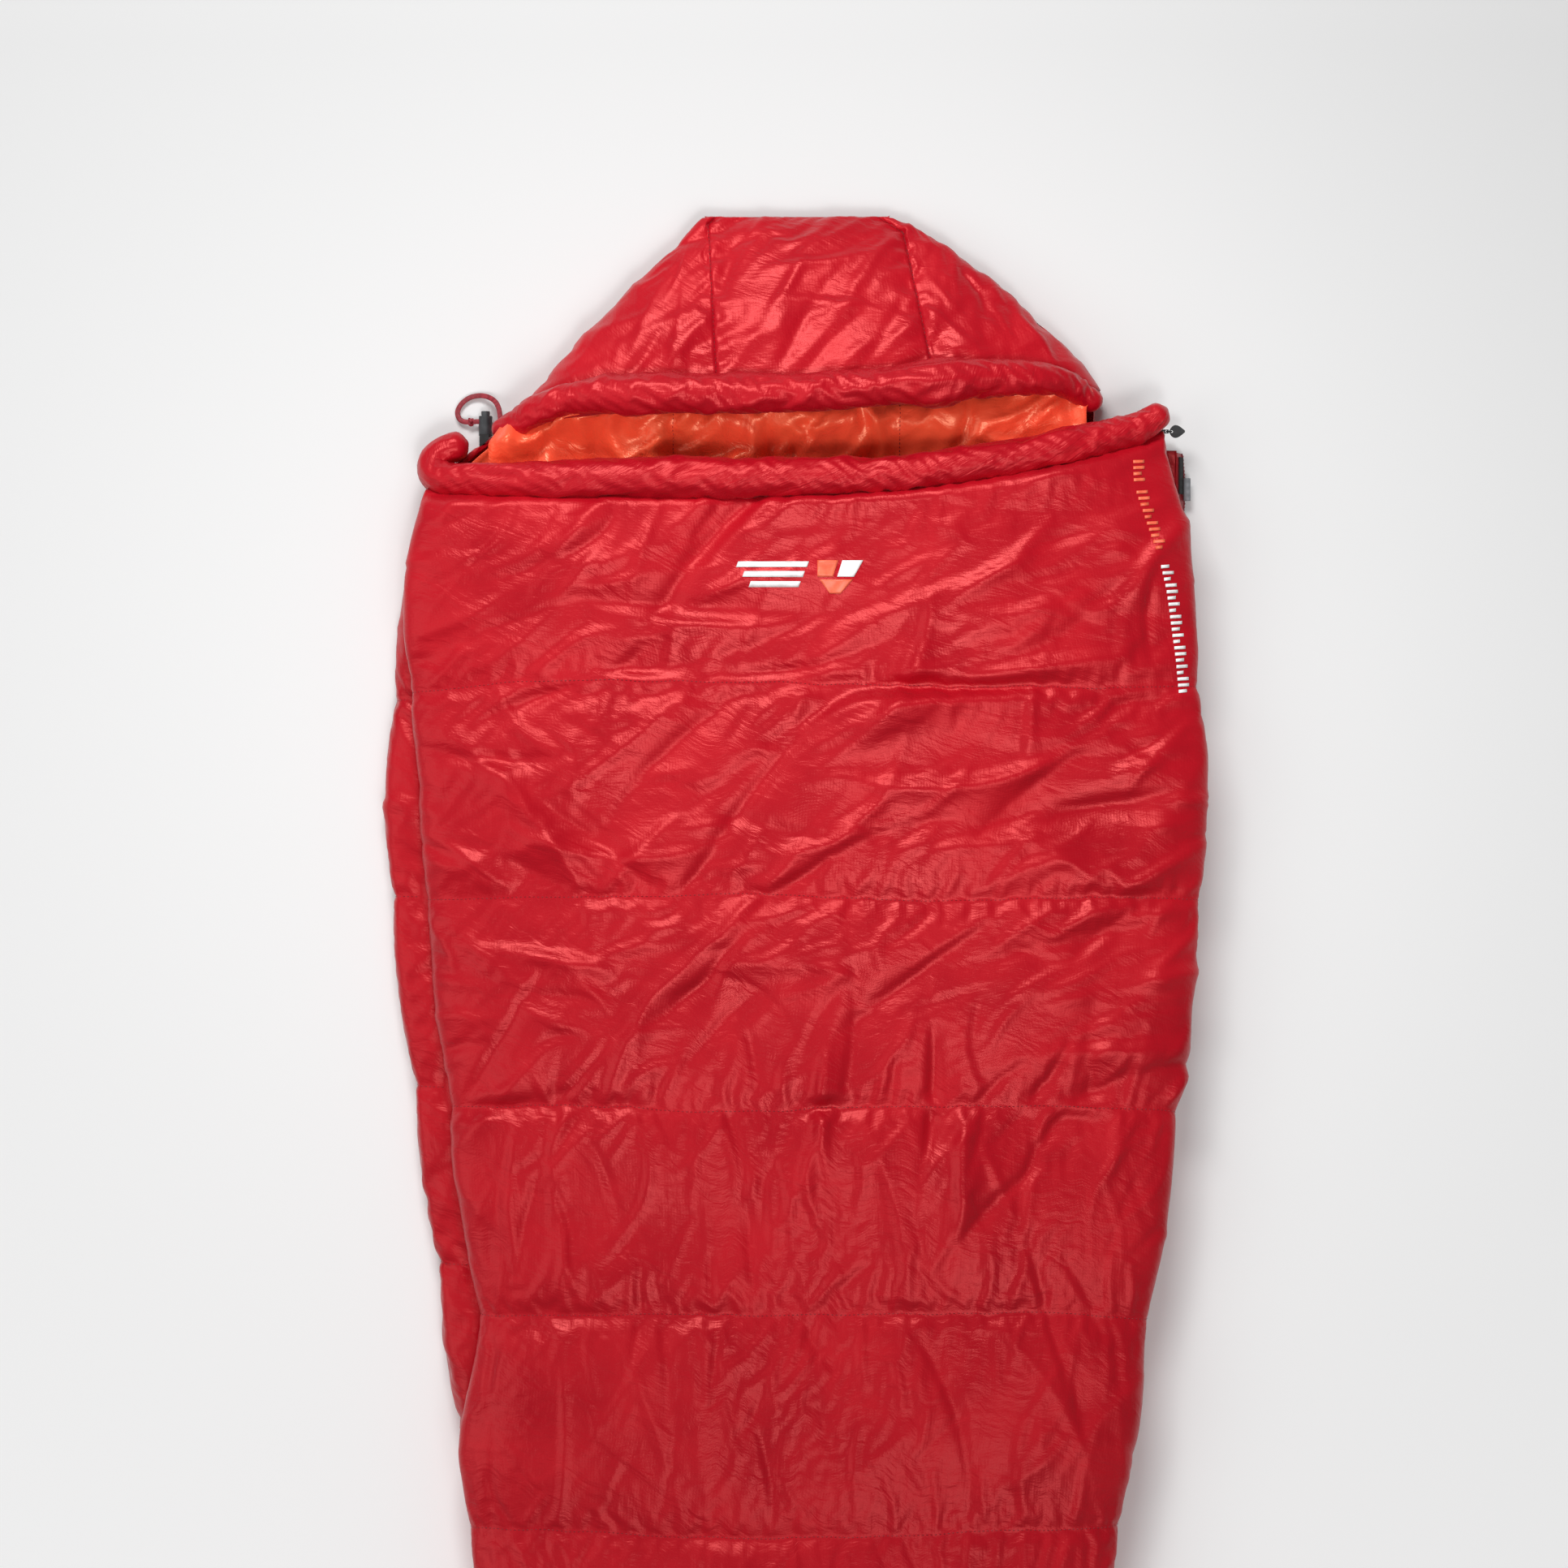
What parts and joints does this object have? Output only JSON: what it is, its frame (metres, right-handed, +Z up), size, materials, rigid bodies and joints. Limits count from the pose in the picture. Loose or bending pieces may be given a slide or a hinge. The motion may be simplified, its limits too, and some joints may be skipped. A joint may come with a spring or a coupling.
{
  "type": "mummy sleeping bag",
  "caption": "Tapered mummy sleeping bag laid flat, quilted, with a hood, a collar roll, a side zip, a neck flap and a hood drawcord with a cord lock.",
  "frame": {"origin": "bottom centre of the bag's bounding box, on the ground under the middle of the under quilt", "axes": "+Y towards the head end along the bag's length, +X to the bag's zip side, +Z up"},
  "size_m": [0.7992, 2.15, 0.132],
  "materials": {
    "shell_nylon": "glossy thin red nylon, stitched in baffles",
    "lining_nylon": "satin orange nylon",
    "fill": "soft white fibre",
    "binding": "woven dark red tape",
    "webbing": "woven black tape",
    "cord": "flat woven dark red elastic",
    "coil": "moulded nylon coil",
    "zip_metal": "dark lacquered metal",
    "lock_plastic": "moulded dark grey plastic",
    "grip_rubber": "matt black moulded grip",
    "spring_steel": "plain steel wire",
    "hook_tape": "hook side of a hook-and-loop tape",
    "reflective_webbing": "grey woven loop with a reflective centre",
    "label": "blank satin label"
  },
  "bodies": {
    "bag": {"back_shell": "shell_nylon", "front_shell": "shell_nylon", "foot_panel": "shell_nylon", "collar_tube": "shell_nylon", "back_lining": "lining_nylon", "front_lining": "lining_nylon", "foot_lining": "lining_nylon", "zip_draught_tube": "lining_nylon", "back_insulation": "fill", "front_insulation": "fill", "foot_insulation": "fill", "side_seam_left": "binding", "side_seam_right": "binding", "zip_tape_front": "webbing", "zip_tape_back": "webbing", "anti_snag_tape": "webbing", "hang_loop_left": "webbing", "hang_loop_right": "webbing", "cord_anchor": "webbing", "collar_elastic": "cord", "drawcord_loop": "cord", "drawcord_knot": "cord", "zip_coil_front": "coil", "zip_coil_back": "coil", "zip_top_stops": "zip_metal", "zip_bottom_stop": "zip_metal", "cord_lock_body": "lock_plastic", "cord_lock_spring": "spring_steel", "care_label": "label"},
    "hood": {"hood_back_shell": "shell_nylon", "hood_back_insulation": "fill", "hood_back_lining": "lining_nylon", "hood_crown_left": "shell_nylon", "hood_crown_centre": "shell_nylon", "hood_crown_right": "shell_nylon", "hood_crown_insulation": "fill", "hood_crown_lining": "lining_nylon", "hood_rim": "shell_nylon", "hood_drawcord": "cord"},
    "zip_slider": {"zip_slider": "zip_metal"},
    "zip_puller": {"zip_pull_tab": "zip_metal", "puller_cord": "grip_rubber", "puller_grip": "grip_rubber"},
    "neck_flap": {"neck_flap": "shell_nylon", "flap_binding": "binding", "flap_hook_strip": "hook_tape", "flap_webbing_loop": "reflective_webbing"},
    "lock_plunger": {"cord_lock_plunger": "lock_plastic"}
  },
  "joints": [
    {"name": "hood_tilt", "type": "hinge", "parent": "bag", "child": "hood", "pos_m": [0, 0.86, 0.027], "axis": [1, 0, 0], "range_deg": [0, 25]},
    {"name": "zip_slide", "type": "slide", "parent": "bag", "child": "zip_slider", "axis": [0, -1, 0], "range_m": [0, 0.7]},
    {"name": "zip_pull", "type": "hinge", "parent": "zip_slider", "child": "zip_puller", "pos_m": [0.3609, 0.864, 0.031], "axis": [0, 0, 1], "range_deg": [-80, 80]},
    {"name": "neck_flap_fold", "type": "hinge", "parent": "bag", "child": "neck_flap", "pos_m": [0.3745, 0.804, 0.024], "axis": [0, -1, 0], "range_deg": [0, 140]},
    {"name": "lock_press", "type": "slide", "parent": "bag", "child": "lock_plunger", "axis": [0, -1, 0], "range_m": [0, 0.004], "stiffness_N_per_m": 800, "springref_m": -0.003}
  ]
}
